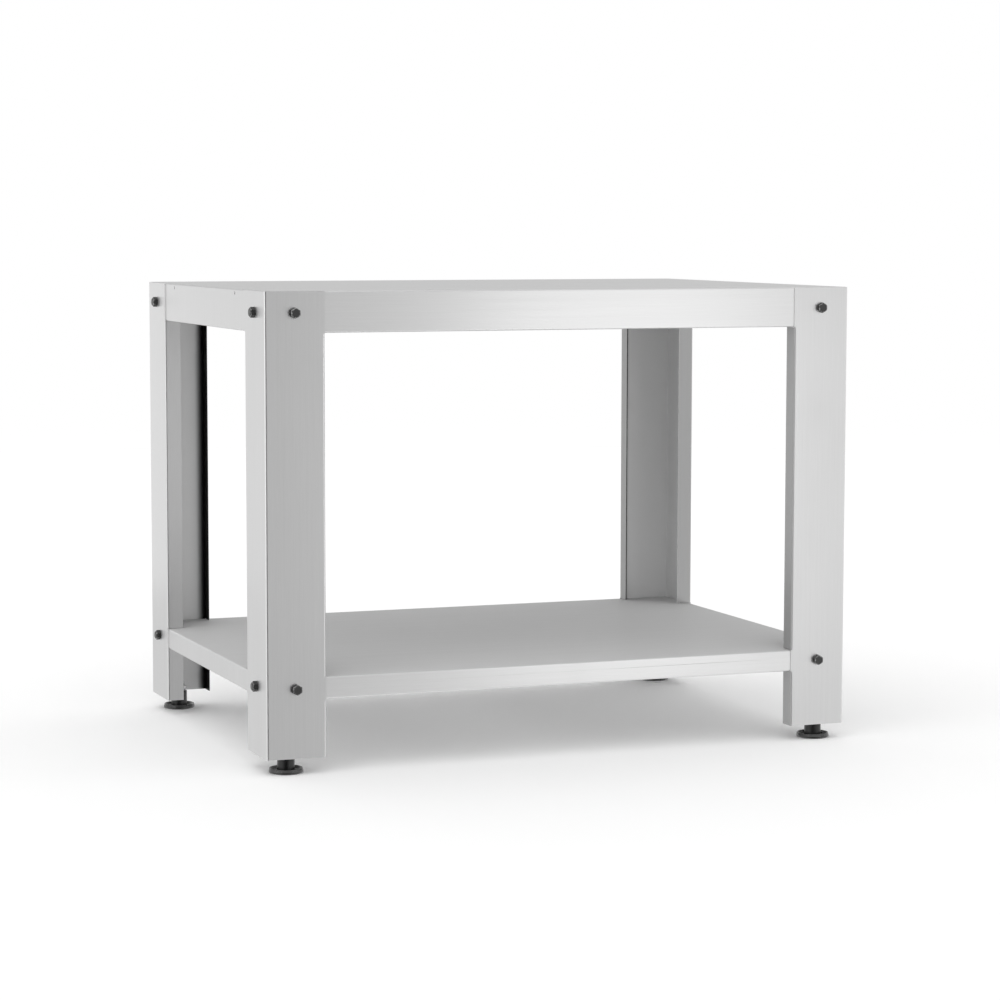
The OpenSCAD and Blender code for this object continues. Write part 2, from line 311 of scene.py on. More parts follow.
def hexagon_tree():
    """A hexagon whose upper corners are turned off, with a bore or without."""
    inputs = [
        ("Across flats", LENGTH, 0.016),
        ("Height", LENGTH, 0.009),
        ("Bore", LENGTH, 0.0),
        ("Face diameter", LENGTH, 0.0152),
        ("Turned angle", FACTOR, math.radians(30)),
        ("Segments", WHOLE, 48),
    ]
    t = Group("Turned hexagon", "GeometryNodeTree", inputs, [("Mesh", GEOMETRY)])
    grid, turn, row = rolled_grid(t, 8, t["Segments"])
    side, corner = hexagon_radius(turn, t["Across flats"])
    face = t["Face diameter"] * 0.5
    bore = t["Bore"] * 0.5
    lip = bore * 1.08
    drop = (side - face) * t["Turned angle"].math("TANGENT")
    height = t["Height"]
    ease = t["Across flats"] * 0.012
    radii = [bore, side, side, side - ease * 0.3, side.math("MINIMUM", face), lip, bore, bore]
    heights = [0.0, 0.0, height - drop - ease, height - drop, height, height, height - bore * 0.08, 0.0]
    # Per ring of points: how far rubbing and a painted highlight lighten the head's edges and corners
    wear_and_highlight = [0.0, corner * 0.6, 0.8, 1.0, 0.7, 0.2, 0.0, 0.0]
    given = {"Geometry": grid, "Name": "wear_and_highlight", "Value": pick(t, row, wear_and_highlight)}
    grid = t.make("GeometryNodeStoreNamedAttribute", given, data_type="FLOAT")
    mesh = roll_up(t, grid, turn, pick(t, row, radii), pick(t, row, heights))
    return t.finish(Mesh=mesh)


def thread_tree():
    """A right-hand screw thread along Z, with four rings of points to each turn of its helix."""
    inputs = [
        ("Diameter", LENGTH, 0.012),
        ("Pitch", LENGTH, 0.00175),
        ("Length", LENGTH, 0.06),
        ("Chamfer", LENGTH, 0.001),
        ("End hole", LENGTH, 0.0),
        ("Segments", WHOLE, 32),
    ]
    t = Group("Screw thread", "GeometryNodeTree", inputs, [("Mesh", GEOMETRY)])
    turns = (t["Length"] / t["Pitch"]).math("CEIL") + 2
    rows = turns * 4 + 2
    grid, turn, row = rolled_grid(t, rows, t["Segments"])
    ring = row - 1
    lap = (ring / 4).math("FLOOR")
    # The start and the end of the crest, then of the root
    phase = pick(t, ring - lap * 4, [-1 / 16, 1 / 16, 3 / 8, 5 / 8])
    height = ((lap - 1 + turn + phase) * t["Pitch"]).math("MAXIMUM", 0).math("MINIMUM", t["Length"])
    wave = ((height / t["Pitch"] - turn).math("FRACT") * 2 - 1).math("ABSOLUTE")
    sunk = ((CREST_END - wave) / FLANK_RUN).math("MAXIMUM", 0).math("MINIMUM", 1)
    depth = sunk * t["Pitch"] * THREAD_DEPTH
    half = t["Diameter"] * 0.5
    radius = (half - depth).math("MINIMUM", half - t["Chamfer"] + (t["Length"] - height))
    first = row.math("LESS_THAN", 0.5)
    last = row.math("GREATER_THAN", rows - 1.5)
    radius = radius * (1 - first) * (1 - last) + last * t["End hole"] * 0.5
    height = height * (1 - first) * (1 - last) + last * t["Length"]
    return t.finish(Mesh=roll_up(t, grid, turn, radius, height))


def socket_tree():
    """The hexagon socket in a stud's upper end, from its mouth down to its floor."""
    inputs = [
        ("Mouth", LENGTH, 0.0075),
        ("Across flats", LENGTH, 0.006),
        ("Depth", LENGTH, 0.006),
        ("Segments", WHOLE, 32),
    ]
    t = Group("Hexagon socket", "GeometryNodeTree", inputs, [("Mesh", GEOMETRY)])
    grid, turn, row = rolled_grid(t, 4, t["Segments"])
    side, _ = hexagon_radius(turn, t["Across flats"])
    radius = pick(t, row, [t["Mouth"] * 0.5, side, side, 0.0])
    height = pick(t, row, [0.0, 0.0, -t["Depth"], -t["Depth"] * 1.15])
    return t.finish(Mesh=roll_up(t, grid, turn, radius, height))


def shifted(t, mesh, height, flipped=False):
    """The mesh moved along Z, after half a turn about X if it is flipped."""
    spin = (math.pi, 0.0, 0.0) if flipped else NO_TURN
    given = {"Geometry": mesh, "Translation": t.vector(0.0, 0.0, height), "Rotation": spin}
    return t.make("GeometryNodeTransform", given)


def together(t, *meshes):
    made = t.add("GeometryNodeJoinGeometry")
    for mesh in reversed(meshes):
        t.join(mesh, made.inputs[0])
    return Field(t, made.outputs[0])


def set_out(t, mesh):
    """Puts the mesh on each point of the piece, turned as the point says, in the given finish."""
    turn = t.make("GeometryNodeInputNamedAttribute", {"Name": "turn"}, data_type="FLOAT_VECTOR")
    turn = t.make("FunctionNodeEulerToRotation", {0: turn})
    given = {"Points": t["Places"], "Instance": mesh, "Rotation": turn}
    copies = t.make("GeometryNodeInstanceOnPoints", given)
    real = t.make("GeometryNodeRealizeInstances", {0: copies})
    return t.make("GeometryNodeSetMaterial", {"Geometry": real, "Material": t["Finish"]})


def piece_tree(name, inputs):
    """A tree for a modifier, whose points are its places and which is given its finish."""
    given = [("Places", GEOMETRY, None)] + inputs + [("Finish", FINISH, None)]
    return Group(name, "GeometryNodeTree", given, [("Mesh", GEOMETRY)])


def flange(t, turned, bore):
    """The flange under a hexagon, from its seat upwards."""
    rim = t["Flange diameter"] * 0.5
    top = t["Across flats"] * 0.48
    corners = [
        (bore, 0.0, 0.0),
        (rim, 0.0, 0.0003),
        (rim, t["Rim height"], 0.0005),
        (top, t["Flange height"], 0.0),
        (bore, t["Flange height"], 0.0),
        (bore, 0.0, 0.0),
    ]
    return use_group(t, turned, {"Outline": outline(t, corners), "Segments": 48})


def bolt_tree(hexagon, thread):
    """A hexagon bolt with its seat on the place, its head along Z and its thread below."""
    inputs = [
        ("Across flats", LENGTH, 0.017),
        ("Height", LENGTH, 0.01),
        ("Face diameter", LENGTH, 0.0125),
        ("Turned angle", FACTOR, math.radians(38)),
        ("Thread diameter", LENGTH, 0.01),
        ("Thread pitch", LENGTH, 0.0015),
        ("Thread length", LENGTH, 0.02),
    ]
    t = piece_tree("Hexagon bolt", inputs)
    given = {label: t[label] for label in ("Across flats", "Height", "Face diameter", "Turned angle")}
    head = use_group(t, hexagon, given)
    given = {
        "Diameter": t["Thread diameter"],
        "Pitch": t["Thread pitch"],
        "Length": t["Thread length"],
        "Segments": 24,
    }
    shank = shifted(t, use_group(t, thread, given), 0.0, flipped=True)
    return t.finish(Mesh=set_out(t, together(t, head, shank)))


def nut_tree(turned, hexagon):
    """A flange nut with its seat on the place and its bore along Z."""
    inputs = [
        ("Flange diameter", LENGTH, 0.0215),
        ("Rim height", LENGTH, 0.0015),
        ("Flange height", LENGTH, 0.003),
        ("Across flats", LENGTH, 0.016),
        ("Height", LENGTH, 0.01),
        ("Thread diameter", LENGTH, 0.01),
    ]
    t = piece_tree("Flange nut", inputs)
    bore = t["Thread diameter"] + 0.0001
    seat = flange(t, turned, bore * 0.5)
    given = {"Across flats": t["Across flats"], "Height": t["Height"], "Bore": bore}
    return t.finish(Mesh=set_out(t, together(t, seat, use_group(t, hexagon, given))))


def stud_tree(turned, thread, socket):
    """A levelling stud with the underside of its collar on the place."""
    inputs = [
        ("Diameter", LENGTH, 0.012),
        ("Thread pitch", LENGTH, 0.00175),
        ("Length", LENGTH, 0.0632),
        ("Collar diameter", LENGTH, 0.018),
        ("Collar height", LENGTH, 0.003),
        ("Key across flats", LENGTH, 0.006),
        ("Key depth", LENGTH, 0.005),
    ]
    t = piece_tree("Levelling stud", inputs)
    half = t["Collar diameter"] * 0.5
    corners = [
        (0.0, 0.0, 0.0),
        (half, 0.0, 0.0004),
        (half, t["Collar height"], 0.0004),
        (0.0, t["Collar height"], 0.0),
    ]
    collar = use_group(t, turned, {"Outline": outline(t, corners), "Segments": 48})
    mouth = t["Key across flats"] * 1.25
    given = {
        "Diameter": t["Diameter"],
        "Pitch": t["Thread pitch"],
        "Length": t["Length"],
        "End hole": mouth,
        "Segments": 36,
    }
    shank = use_group(t, thread, given)
    key = {
        "Mouth": mouth,
        "Across flats": t["Key across flats"],
        "Depth": t["Key depth"],
        "Segments": 36,
    }
    end = shifted(t, use_group(t, socket, key), t["Length"])
    whole = together(t, shank, end)
    whole = t.make("GeometryNodeMergeByDistance", {"Geometry": whole, "Distance": MERGE_DISTANCE})
    return t.finish(Mesh=set_out(t, together(t, whole, collar)))


def foot_tree(turned):
    """A moulded foot with its underside on the place, and the seat of the stud's collar inside."""
    inputs = [
        ("Disc diameter", LENGTH, 0.063),
        ("Rim height", LENGTH, 0.009),
        ("Rim width", LENGTH, 0.0025),
        ("Dish height", LENGTH, 0.0045),
        ("Hub diameter", LENGTH, 0.032),
        ("Hub height", LENGTH, 0.035),
        ("Bore", LENGTH, 0.0121),
        ("Collar diameter", LENGTH, 0.0186),
        ("Collar low", LENGTH, 0.0137),
        ("Collar high", LENGTH, 0.0173),
        ("Rounding", LENGTH, 0.0009),
    ]
    t = piece_tree("Moulded foot", inputs)
    disc = t["Disc diameter"] * 0.5
    inner = disc - t["Rim width"]
    hub = t["Hub diameter"] * 0.5
    bore = t["Bore"] * 0.5
    collar = t["Collar diameter"] * 0.5
    ease = t["Rounding"]
    corners = [
        (0.0, 0.0, 0.0),
        (disc - 0.0025, 0.0, 0.0008),
        (disc, 0.002, 0.0012),
        (disc, t["Rim height"] * 0.5, 0.001),
        (disc - t["Rim width"] * 0.6, t["Rim height"], ease * 0.6),
        (inner, t["Rim height"], ease * 0.5),
        (inner - 0.0042, t["Dish height"], 0.002),
        (hub, t["Dish height"], 0.0025),
        (hub, t["Hub height"], 0.0012),
        (bore + 0.0006, t["Hub height"], 0.0),
        (bore, t["Hub height"] - 0.0006, 0.0),
        (bore, t["Collar high"], 0.0),
        (collar, t["Collar high"], 0.0),
        (collar, t["Collar low"], 0.0),
        (0.0, t["Collar low"], 0.0),
    ]
    shape = use_group(t, turned, {"Outline": outline(t, corners), "Segments": 96})
    place = t.make("GeometryNodeInputPosition", {})
    away = (place.part(0) * place.part(0) + place.part(1) * place.part(1)).math("SQRT")
    # Painted highlight: the rim's upper half is marked to be painted lighter
    on_rim = away.math("GREATER_THAN", inner - 0.0003)
    rubbed_and_highlit = on_rim * place.part(2).math("GREATER_THAN", t["Rim height"] * 0.45)
    given = {"Geometry": shape, "Name": "wear_and_highlight", "Value": rubbed_and_highlit}
    shape = t.make("GeometryNodeStoreNamedAttribute", given, data_type="FLOAT")
    return t.finish(Mesh=set_out(t, shape))


def spot_weld_tree(turned):
    """A row of spot welds along X from each place: shallow round dimples with a raised ring."""
    inputs = [
        ("Run", LENGTH, 0.78),
        ("Spacing", LENGTH, 0.06),
        ("Diameter", LENGTH, 0.006),
        ("Height", LENGTH, 0.0003),
    ]
    t = piece_tree("Spot welds", inputs)
    half = t["Diameter"] * 0.5
    rise = t["Height"]
    corners = [
        (0.0, -rise * 0.5, 0.0),
        (half * 1.1, -rise * 0.5, 0.0),
        (half, rise, 0.0),
        (half * 0.72, rise * 0.9, 0.0),
        (half * 0.6, rise * 0.25, 0.0),
        (0.0, rise * 0.1, 0.0),
    ]
    dimple = use_group(t, turned, {"Outline": outline(t, corners), "Segments": 10})
    count = (t["Run"] / t["Spacing"]).math("FLOOR") + 1
    start = (count - 1) * t["Spacing"] * -0.5
    given = {
        "Count": count,
        "Start Location": t.vector(start, 0.0, 0.0),
        "Offset": t.vector(t["Spacing"], 0.0, 0.0),
    }
    line = t.make("GeometryNodeMeshLine", given)
    row = t.make("GeometryNodeInstanceOnPoints", {"Points": line, "Instance": dimple})
    row = t.make("GeometryNodeRealizeInstances", {0: row})
    return t.finish(Mesh=set_out(t, row))


def bead_tree():
    """A rippled weld bead along each edge of the piece's wire."""
    inputs = [("Width", LENGTH, 0.0035), ("Ripple spacing", LENGTH, 0.0012), ("Ripple", LENGTH, 0.12)]
    t = piece_tree("Weld bead", inputs)
    curve = t.make("GeometryNodeMeshToCurve", {"Mesh": t["Places"]})
    step = {"Curve": curve, "Length": t["Ripple spacing"] * 0.5}
    curve = t.make("GeometryNodeResampleCurve", step, mode="LENGTH")
    number = t.make("GeometryNodeInputIndex", {})
    swell = 1 + (number * math.pi).math("COSINE") * t["Ripple"]
    noise = t.make("FunctionNodeRandomValue", {"Min": 0.93, "Max": 1.07, "Seed": 4}, out=1)
    rim = {"Radius": t["Width"] * 0.5, "Resolution": 10}
    ring = t.make("GeometryNodeCurvePrimitiveCircle", rim, mode="RADIUS")
    given = {"Curve": curve, "Profile Curve": ring, "Scale": swell * noise, "Fill Caps": True}
    bead = t.make("GeometryNodeCurveToMesh", given)
    real = t.make("GeometryNodeRealizeInstances", {0: bead})
    return t.finish(Mesh=t.make("GeometryNodeSetMaterial", {"Geometry": real, "Material": t["Finish"]}))


# Shader groups for effects that several finishes share


def grain_group():
    """Brushed lines, fine and broad, along X or upright along Z."""
    inputs = [
        ("Position", VECTOR, None),
        ("Upright", FACTOR, 0.0),
        ("Line length", LENGTH, 0.06),
        ("Line width", LENGTH, 0.0003),
        ("Streak width", LENGTH, 0.005),
    ]
    t = Group("Brushed grain", "ShaderNodeTree", inputs, [("Grain", FACTOR), ("Streak", FACTOR)])
    x, y, z = (t["Position"].part(axis) for axis in range(3))
    results = {}
    for label, width, length in (("Grain", "Line width", 1.0), ("Streak", "Streak width", 8.0)):
        across = t[width]
        along = t["Line length"] * length
        level = t.vector(x / along, y / across, z / across)
        upright = t.vector(x / across, y / across, z / along)
        mixed = t.make(
            "ShaderNodeMix", {0: t["Upright"], 4: level, 5: upright}, out=1, data_type="VECTOR"
        )
        given = {"Vector": mixed, "Scale": 1.0, "Detail": 2.0, "Roughness": 0.6}
        results[label] = t.make("ShaderNodeTexNoise", given)
    return t.finish(**results)


def smudge_group():
    """Soft patches where a cloth or a hand has passed over the metal."""
    inputs = [("Position", VECTOR, None), ("Size", LENGTH, 0.25), ("Cover", FACTOR, 0.5)]
    t = Group("Wiped patches", "ShaderNodeTree", inputs, [("Mask", FACTOR)])
    given = {"Vector": t["Position"], "Scale": 1 / t["Size"].math("MAXIMUM", 0.001)}
    given.update({"Detail": 4.0, "Roughness": 0.55, "Distortion": 0.6})
    noise = t.make("ShaderNodeTexNoise", given)
    low = 0.75 - t["Cover"] * 0.4
    return t.finish(Mask=noise.ramp(low, low + 0.22))


def grit_group():
    """Fine unevenness of a cast, coated or moulded face, with its broader mottling."""
    inputs = [("Position", VECTOR, None), ("Grit size", LENGTH, 0.0005), ("Patch size", LENGTH, 0.006)]
    outputs = [("Grit", FACTOR), ("Patches", FACTOR)]
    t = Group("Grit and mottling", "ShaderNodeTree", inputs, outputs)
    results = {}
    for label, size, detail in (("Grit", "Grit size", 2.0), ("Patches", "Patch size", 4.0)):
        given = {"Vector": t["Position"], "Scale": 1 / t[size].math("MAXIMUM", 0.00001)}
        given.update({"Detail": detail, "Roughness": 0.55})
        results[label] = t.make("ShaderNodeTexNoise", given)
    return t.finish(**results)


def edge_rubbing_and_highlight_group():
    """Edges lightened by rubbing and by a painted highlight, where the piece's own stored attribute is
    high, broken up by grit.
    """
    inputs = [("Rubbing and highlight", FACTOR, 0.0), ("Grit", FACTOR, 0.5), ("Amount", FACTOR, 0.5)]
    t = Group("Rubbed edges", "ShaderNodeTree", inputs, [("Mask", FACTOR)])
    level = t["Rubbing and highlight"] + (t["Grit"] - 0.5) * 0.9
    return t.finish(Mask=level.ramp(1.1 - t["Amount"] * 0.5, 1.25 - t["Amount"] * 0.3))


class Finish(Nodes):
    """A material with one Principled shader, which holds its plain values."""

    def __init__(self, name, **values):
        self.material = bpy.data.materials.new(name)
        self.material.use_nodes = True
        super().__init__(self.material.node_tree)
        self.tree.nodes.clear()
        self.shader = self.add("ShaderNodeBsdfPrincipled")
        self.end = self.add("ShaderNodeOutputMaterial")
        self.tree.links.new(self.shader.outputs[0], self.end.inputs[0])
        for label, value in values.items():
            self.shader.inputs[label.replace("_", " ")].default_value = value
        self.place = self.make("ShaderNodeTexCoord", {}, out="Object")
        self.normal = self.make("ShaderNodeTexCoord", {}, out="Normal")

    def feed(self, label, value):
        self.join(value, self.shader.inputs[label])

    def own_wear_and_highlight(self):
        """The mask of rubbing and painted highlight that the piece's tree has stored on its points."""
        return self.make("ShaderNodeAttribute", {}, out="Fac", attribute_name="wear_and_highlight")

    def bump(self, height, distance, strength):
        given = {"Height": height, "Distance": distance, "Strength": strength}
        self.feed("Normal", self.make("ShaderNodeBump", given))

    def done(self):
        self.arrange()
        return self.material


def shade(colour, tone):
    """A colour made lighter or darker, with full opacity."""
    return tuple(min(1.0, channel * tone) for channel in tuple(colour)[:3]) + (1.0,)


def tinted(colour, tint):
    return tuple(channel * share for channel, share in zip(colour, tint))


def grit_over(m, grit_size, patch_size):
    """Fine grit and its broader mottling, over a whole finish."""
    given = {"Position": m.place, "Grit size": grit_size, "Patch size": patch_size}
    grit = use_group(m, bpy.data.node_groups["Grit and mottling"], given, "Grit")
    return grit, Field(m, grit.socket.node.outputs["Patches"])


def brushed_sheet(name, looks, upper=None):
    """Satin brushed stainless sheet of a tray, or of a leg where no upper face is given.

    A tray's lines run along X and down its side folds, and a leg's are upright. A tray's upper
    face has its own share of metal and gloss, and painted shade darkens it to its own tone.
    """
    tint = shade(WHITE, looks.sheet_grazing)
    m = Finish(name, Metallic=1.0, Specular_Tint=tint, Anisotropic=looks.sheet_stretch)
    side = m.normal.part(0).math("ABSOLUTE").math("GREATER_THAN", 0.7)
    turned = side if upper else 1.0
    given = {
        "Position": m.place,
        "Upright": turned,
        "Line length": looks.line_length,
        "Line width": looks.line_width,
        "Streak width": looks.streak_width,
    }
    grain = use_group(m, bpy.data.node_groups["Brushed grain"], given, "Grain")
    streak = Field(m, grain.socket.node.outputs["Streak"])
    patches = {"Position": m.place, "Size": 0.3, "Cover": 0.5}
    wiped = use_group(m, bpy.data.node_groups["Wiped patches"], patches)
    tone = (grain - 0.5) * looks.line_contrast + (streak - 0.5) * looks.streak_contrast + 0.5
    colour = m.mix(tone, shade(looks.sheet_colour, 0.8), shade(looks.sheet_colour, 1.2))
    if upper:
        upper_painted_shade, upper_metal, upper_gloss = upper
        # Painted shade: faces that look up are darkened towards black by their upper tone, and made
        # less metallic and glossy
        level = m.normal.part(2).ramp(0.6, 0.95)
        colour = m.mix(level * (1.0 - upper_painted_shade), colour, BLACK)
        m.feed("Metallic", 1 - level * (1.0 - upper_metal))
        m.feed("Specular IOR Level", 0.5 - level * (0.5 - upper_gloss))
    else:
        colour = leg_inside(m, colour, looks)
    m.feed("Base Color", colour)
    rough = (streak - 0.5) * 0.12 + (grain - 0.5) * 0.1 + wiped * 0.035 + looks.sheet_roughness
    m.feed("Roughness", rough)
    m.bump(grain, 0.00002, 0.25)
    line = m.vector(1 - turned if isinstance(turned, Field) else 1.0 - turned, 0.0, turned)
    tangent = {0: m.normal, 1: line}
    m.feed("Tangent", m.make("ShaderNodeVectorMath", tangent, operation="CROSS_PRODUCT"))
    return m.done()


def leg_inside(m, colour, looks):
    """Finishes a leg's folds: dulled lips darkened by painted shade, a dulled hollow with painted shade
    towards its lips, the lips' inner faces painted near black as shade, and pale cut edges.
    """
    inner_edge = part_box("leg_front_left")[1]
    hollow, cut = 0.0, 0.0
    height = m.place.part(2)
    shelf_low, shelf_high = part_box("shelf_panel")
    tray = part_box("top_panel")[0].z
    between = height.math("GREATER_THAN", shelf_high.z) * height.math("LESS_THAN", tray)
    lipped = between + height.math("LESS_THAN", shelf_low.z)
    for axis, edge in ((0, abs(inner_edge.x)), (1, abs(inner_edge.y))):
        place = m.place.part(axis)
        outwards = place.math("SIGN") * m.normal.part(axis)
        near = (place.math("ABSOLUTE") - edge).math("LESS_THAN", LIP_REACH)
        inwards = (-outwards).ramp(0.2, 0.9)
        # Painted shade: each lip is darkened towards black by its tone, the side walls' lips of the
        # left and right legs by different amounts
        lip_shades = ((looks.end_lip_painted_shade,) * 2, (looks.left_lip_painted_shade, looks.right_lip_painted_shade))[axis]
        right = m.place.part(0).math("GREATER_THAN", 0)
        tone = right * (lip_shades[1] - lip_shades[0]) + lip_shades[0]
        lip = inwards * near * lipped
        colour = m.mix(lip * (1 - tone), colour, BLACK)
        cut = inwards * near * (1 - lipped) + cut
        hollow = inwards * (1 - near) + hollow
        if axis == 0:
            # Painted shade: the lips' inner faces, which face out from the table's middle, are painted
            # near black
            dark = outwards.ramp(0.1, 0.8) * near
            dull = lip * (1.0 - looks.end_lip_metal)
            # Painted shade: the hollow darkens towards black near its lips
            corner = (place.math("ABSOLUTE") - edge).ramp(HOLLOW_SHADE_START, HOLLOW_SHADE_END)
    hollow = hollow.math("MINIMUM", 1)
    colour = m.mix(hollow, colour, m.mix(corner, shade(looks.hollow_colour, 1.0), BLACK))
    cut = cut.math("MINIMUM", 1)
    colour = m.mix(cut, colour, shade(looks.cut_colour, 1.0))
    dull = hollow * (1.0 - looks.hollow_metal) + cut * (1.0 - looks.cut_metal) + dull
    m.feed("Metallic", 1 - dull)
    # Painted shade: the lips' inner faces go near black here
    return m.mix(dark * (1.0 - looks.lip_inner_painted_shade), colour, BLACK)


def rolled_sheet(name, looks):
    """Plain cold-rolled stainless sheet, as bought, with faint roll marks along the folds."""
    m = Finish(name, Metallic=1.0)
    given = {"Position": m.place, "Line length": 0.15, "Line width": 0.0015, "Streak width": 0.02}
    grain = use_group(m, bpy.data.node_groups["Brushed grain"], given, "Grain")
    grit = use_group(m, bpy.data.node_groups["Grit and mottling"], {"Position": m.place}, "Grit")
    patches = {"Position": m.place, "Size": 0.08, "Cover": 0.4}
    wiped = use_group(m, bpy.data.node_groups["Wiped patches"], patches)
    tone = (grain - 0.5) * 0.25 + wiped * -0.12 + 0.5
    colour = m.mix(tone, shade(looks.inner_colour, 0.8), shade(looks.inner_colour, 1.2))
    m.feed("Base Color", colour)
    m.feed("Roughness", (grain - 0.5) * 0.1 + wiped * 0.06 + looks.inner_roughness)
    m.bump(grit, 0.00001, 0.2)
    return m.done()


def black_coat(name, looks):
    """Black coated steel, dull in the flats and lighter grey along its edges, from rubbing and a
    painted highlight.
    """
    m = Finish(name)
    grit, patches = grit_over(m, 0.0004, 0.004)
    # The edges are lightened by rubbing and by a painted highlight
    wear_and_highlight = m.own_wear_and_highlight()
    given = {"Rubbing and highlight": wear_and_highlight, "Grit": patches, "Amount": looks.bolt_rubbing_and_highlight}
    rubbed_and_highlit = use_group(m, bpy.data.node_groups["Rubbed edges"], given)
    plain = m.mix(patches, shade(looks.bolt_colour, 0.75), shade(looks.bolt_colour, 1.3))
    m.feed("Base Color", m.mix(rubbed_and_highlit, plain, shade(looks.worn_and_highlight_colour, 1.0)))
    m.feed("Roughness", (patches - 0.5) * 0.16 - rubbed_and_highlit * 0.06 + looks.bolt_roughness)
    m.feed("Metallic", rubbed_and_highlit * 0.7)
    m.bump(grit, 0.00003, 0.35)
    return m.done()


def zinc_plate(name, looks):
    """Bright zinc plating, with a faint bluish and straw mottling."""
    m = Finish(name, Metallic=1.0)
    grit, patches = grit_over(m, 0.0004, 0.005)
    warm = tinted(looks.zinc_colour, (1.06, 1.0, 0.88))
    cool = tinted(looks.zinc_colour, (0.92, 0.98, 1.06))
    m.feed("Base Color", m.mix(patches, shade(warm, 0.95), shade(cool, 1.05)))
    m.feed("Roughness", (patches - 0.5) * 0.2 + looks.zinc_roughness)
    m.bump(grit, 0.00002, 0.3)
    return m.done()


def weld_metal(name, looks):
    """Weld metal in stainless steel, dulled and tinted straw to blue by its heat."""
    m = Finish(name, Metallic=1.0)
    grit, patches = grit_over(m, 0.0006, 0.006)
    heat = patches.ramp(0.35, 0.65)
    straw = tinted(looks.inner_colour, (0.95, 0.82, 0.6))
    blue = tinted(looks.inner_colour, (0.6, 0.66, 0.78))
    m.feed("Base Color", m.mix(heat, shade(straw, 0.85), shade(blue, 0.9)))
    m.feed("Roughness", (grit - 0.5) * 0.25 + 0.42)
    m.bump(grit, 0.00006, 0.4)
    return m.done()


def moulded_black(name, looks):
    """Black moulded plastic with a fine spark-eroded texture, a little dusty, with a painted highlight
    on its rim.
    """
    m = Finish(name, Specular_IOR_Level=looks.foot_sheen)
    grit, patches = grit_over(m, 0.0007, 0.012)
    plain = m.mix(patches, shade(looks.foot_colour, 0.85), shade(looks.foot_colour, 1.2))
    level = m.normal.part(2).math("MAXIMUM", 0.0) * (patches - 0.42).math("MAXIMUM", 0.0)
    dusty = m.mix(level * 0.8, plain, DUST)
    # Painted highlight: the rim's upper half is painted lighter in the rim colour
    wear_and_highlight = m.own_wear_and_highlight()
    rubbed_and_highlit = wear_and_highlight * (patches * 0.6 + 0.7)
    m.feed("Base Color", m.mix(rubbed_and_highlit, dusty, shade(looks.rim_highlight_colour, 1.0)))
    m.feed("Roughness", (patches - 0.5) * 0.16 - rubbed_and_highlit * 0.08 + looks.foot_roughness)
    m.bump(grit, 0.00004, 0.3)
    return m.done()


# Sizes and colours that a user would change


def colour_of(label, note, default):
    return bpy.props.FloatVectorProperty(
        name=label, description=note, default=default, size=3, min=0.0, max=1.0, subtype="COLOR"
    )


def share_of(label, note, default, top=1.0):
    return bpy.props.FloatProperty(
        name=label, description=note, default=default, min=0.0, max=top, subtype="FACTOR"
    )


def length_of(label, note, default, least=0.0):
    return bpy.props.FloatProperty(
        name=label, description=note, default=default, min=least, unit="LENGTH", precision=5
    )


